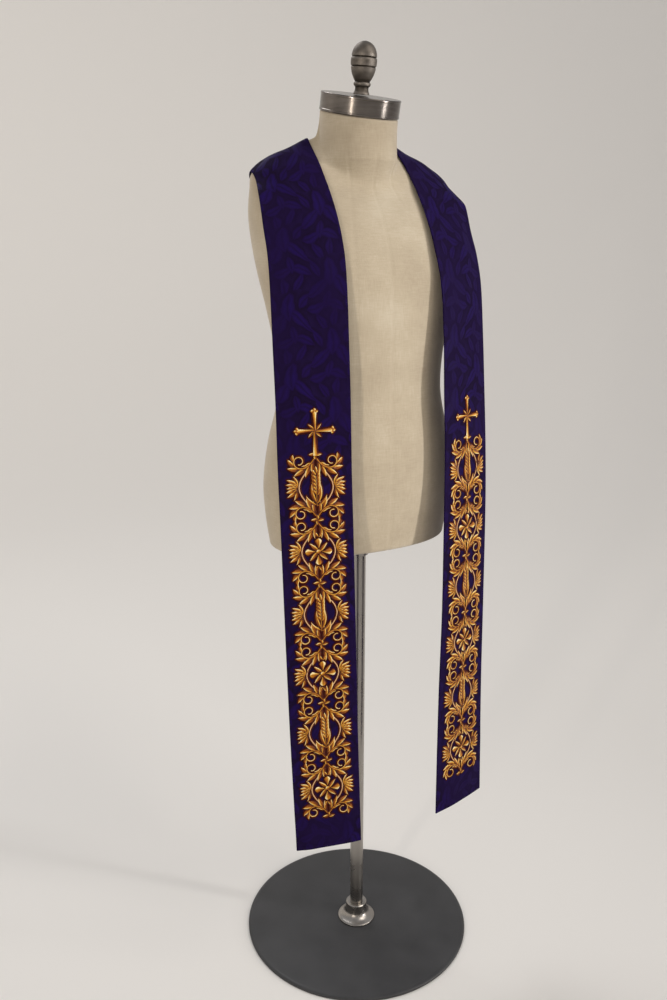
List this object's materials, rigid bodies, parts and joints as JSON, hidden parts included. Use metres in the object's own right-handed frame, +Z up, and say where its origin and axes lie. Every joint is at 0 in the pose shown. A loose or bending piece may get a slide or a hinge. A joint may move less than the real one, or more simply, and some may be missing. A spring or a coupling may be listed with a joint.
{
  "type": "clerical stole on a dress form",
  "caption": "Long narrow clerical stole in violet damask, seamed at the nape, lying over the shoulders of a limbless dress form on a round base.",
  "frame": {"origin": "on the floor, under the middle of the base plate", "axes": "+Z up, the form faces -Y, +X is the wearer's left"},
  "size_m": [0.43, 0.43, 1.6073],
  "materials": {
    "violet_damask": "tone-on-tone leaf damask, deep blue-violet on near-black plum, with gold satin-stitch embroidery",
    "cream_linen": "plain-woven cream linen stretched over the padded form",
    "brushed_steel": "brushed stainless steel",
    "pewter": "dull grey cast metal, turned",
    "grey_enamel": "dark grey powder-coated steel"
  },
  "bodies": {
    "root": {"stole_left_half": "violet_damask", "stole_right_half": "violet_damask", "form_body": "cream_linen", "neck_cap": "brushed_steel", "finial": "pewter", "flange": "brushed_steel", "post": "brushed_steel", "hub": "brushed_steel", "base_plate": "grey_enamel"}
  },
  "joints": []
}
